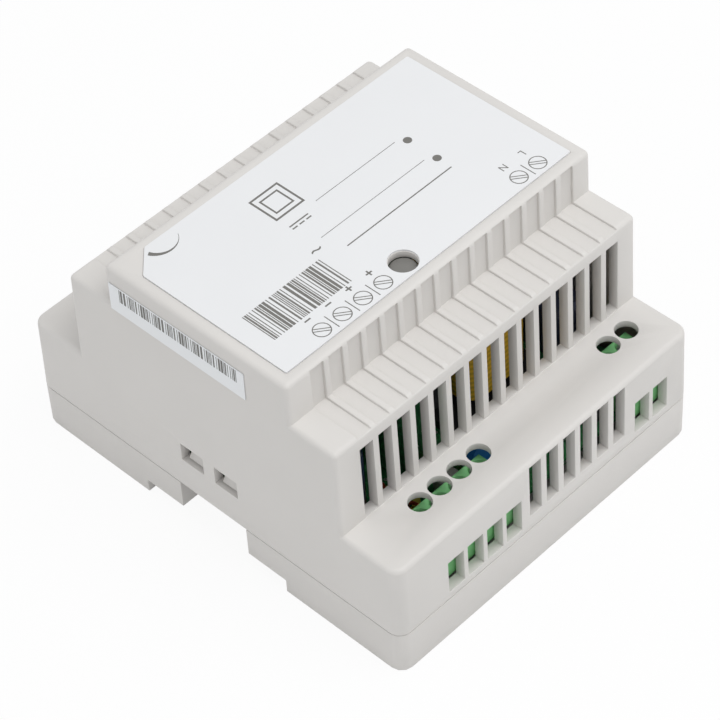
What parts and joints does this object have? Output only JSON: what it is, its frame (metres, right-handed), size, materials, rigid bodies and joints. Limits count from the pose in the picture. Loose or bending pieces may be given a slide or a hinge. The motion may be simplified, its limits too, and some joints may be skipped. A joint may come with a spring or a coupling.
{
  "type": "din rail power supply",
  "caption": "Stepped modular power supply that clips to a mounting rail, with screw terminals, vent slots and a front status light.",
  "frame": {"origin": "middle of the back, on the plane of the feet", "axes": "+Z out of the front face, X across the width, Y along the height with the terminals at -Y"},
  "size_m": [0.078, 0.093, 0.056],
  "materials": {
    "case_plastic": "fine moulded texture",
    "label_film": "satin printed film",
    "sticker_paper": "printed sticker",
    "latch_plastic": "moulded",
    "board": "solder mask",
    "terminal_green": "moulded",
    "zinc_steel": "zinc plated",
    "clamp_brass": "plated",
    "trimmer_blue": "moulded",
    "rotor_white": "moulded",
    "lamp_lens": "diffused",
    "spacer_black": "moulded",
    "ferrite": "sintered",
    "yellow_tape": "polyester tape",
    "epoxy_black": "moulded",
    "sink_aluminium": "mill",
    "capacitor_sleeve": "shrink sleeve",
    "film_case": "potted case",
    "disc_blue": "dipped",
    "disc_dark": "dipped",
    "enamelled_wire": "enamelled copper",
    "chip_white": "moulded"
  },
  "bodies": {
    "case": {"top_cover": "case_plastic", "base_tray": "case_plastic", "front_label": "label_film", "side_label": "sticker_paper", "main_pcb": "board", "daughter_pcb": "board", "output_terminal": "terminal_green", "input_terminal": "terminal_green", "pcb_screw_1": "zinc_steel", "pcb_screw_2": "zinc_steel", "pcb_screw_3": "zinc_steel", "pcb_screw_4": "zinc_steel", "primary_sink_screw": "zinc_steel", "secondary_sink_screw": "zinc_steel", "trimmer_body": "trimmer_blue", "status_led": "lamp_lens", "led_spacer": "spacer_black", "transformer_core": "ferrite", "choke_core": "ferrite", "inductor_core": "ferrite", "transformer_winding": "yellow_tape", "transformer_bobbin": "epoxy_black", "switching_transistor": "epoxy_black", "output_rectifier": "epoxy_black", "bridge_rectifier": "epoxy_black", "fuse": "epoxy_black", "controller_chip": "epoxy_black", "primary_heatsink": "sink_aluminium", "secondary_heatsink": "sink_aluminium", "bulk_capacitor": "capacitor_sleeve", "output_capacitor_1": "capacitor_sleeve", "output_capacitor_2": "capacitor_sleeve", "mains_capacitor": "film_case", "safety_capacitor": "disc_blue", "thermistor": "disc_dark", "choke_winding_1": "enamelled_wire", "choke_winding_2": "enamelled_wire", "inductor_winding": "enamelled_wire", "optocoupler": "chip_white"},
    "latch": {"din_latch": "latch_plastic"},
    "rotor": {"trimmer_rotor": "rotor_white"},
    "screw_1": {"terminal_screw_1": "zinc_steel"},
    "cage_1": {"clamp_cage_1": "clamp_brass"},
    "screw_2": {"terminal_screw_2": "zinc_steel"},
    "cage_2": {"clamp_cage_2": "clamp_brass"},
    "screw_3": {"terminal_screw_3": "zinc_steel"},
    "cage_3": {"clamp_cage_3": "clamp_brass"},
    "screw_4": {"terminal_screw_4": "zinc_steel"},
    "cage_4": {"clamp_cage_4": "clamp_brass"},
    "screw_5": {"terminal_screw_5": "zinc_steel"},
    "cage_5": {"clamp_cage_5": "clamp_brass"},
    "screw_6": {"terminal_screw_6": "zinc_steel"},
    "cage_6": {"clamp_cage_6": "clamp_brass"}
  },
  "joints": [
    {"name": "latch_slide", "type": "slide", "parent": "case", "child": "latch", "axis": [0, 1, 0], "range_m": [0, 0.004], "stiffness_N_per_m": 300},
    {"name": "trimmer_turn", "type": "hinge", "parent": "case", "child": "rotor", "pos_m": [-0.0283, 0.038, 0.0183], "axis": [0, 0, 1], "range_deg": [-135, 135]},
    {"name": "screw_1_turn", "type": "hinge", "parent": "case", "child": "screw_1", "pos_m": [-0.0239, -0.0377, 0.0204], "axis": [0, 0, -1], "range_deg": [0, 900]},
    {"name": "cage_1_lift", "type": "slide", "parent": "case", "child": "cage_1", "axis": [0, 0, 1], "range_m": [0, 0.00125]},
    {"name": "screw_2_turn", "type": "hinge", "parent": "case", "child": "screw_2", "pos_m": [-0.0189, -0.0377, 0.0204], "axis": [0, 0, -1], "range_deg": [0, 900]},
    {"name": "cage_2_lift", "type": "slide", "parent": "case", "child": "cage_2", "axis": [0, 0, 1], "range_m": [0, 0.00125]},
    {"name": "screw_3_turn", "type": "hinge", "parent": "case", "child": "screw_3", "pos_m": [-0.0139, -0.0377, 0.0204], "axis": [0, 0, -1], "range_deg": [0, 900]},
    {"name": "cage_3_lift", "type": "slide", "parent": "case", "child": "cage_3", "axis": [0, 0, 1], "range_m": [0, 0.00125]},
    {"name": "screw_4_turn", "type": "hinge", "parent": "case", "child": "screw_4", "pos_m": [-0.0089, -0.0377, 0.0204], "axis": [0, 0, -1], "range_deg": [0, 900]},
    {"name": "cage_4_lift", "type": "slide", "parent": "case", "child": "cage_4", "axis": [0, 0, 1], "range_m": [0, 0.00125]},
    {"name": "screw_5_turn", "type": "hinge", "parent": "case", "child": "screw_5", "pos_m": [0.0259, -0.0377, 0.0204], "axis": [0, 0, -1], "range_deg": [0, 900]},
    {"name": "cage_5_lift", "type": "slide", "parent": "case", "child": "cage_5", "axis": [0, 0, 1], "range_m": [0, 0.00125]},
    {"name": "screw_6_turn", "type": "hinge", "parent": "case", "child": "screw_6", "pos_m": [0.0309, -0.0377, 0.0204], "axis": [0, 0, -1], "range_deg": [0, 900]},
    {"name": "cage_6_lift", "type": "slide", "parent": "case", "child": "cage_6", "axis": [0, 0, 1], "range_m": [0, 0.00125]}
  ],
  "couplings": [
    {"joint": "screw_1_turn", "follows": "cage_1_lift", "rad_per_m": 12566},
    {"joint": "screw_2_turn", "follows": "cage_2_lift", "rad_per_m": 12566},
    {"joint": "screw_3_turn", "follows": "cage_3_lift", "rad_per_m": 12566},
    {"joint": "screw_4_turn", "follows": "cage_4_lift", "rad_per_m": 12566},
    {"joint": "screw_5_turn", "follows": "cage_5_lift", "rad_per_m": 12566},
    {"joint": "screw_6_turn", "follows": "cage_6_lift", "rad_per_m": 12566}
  ]
}
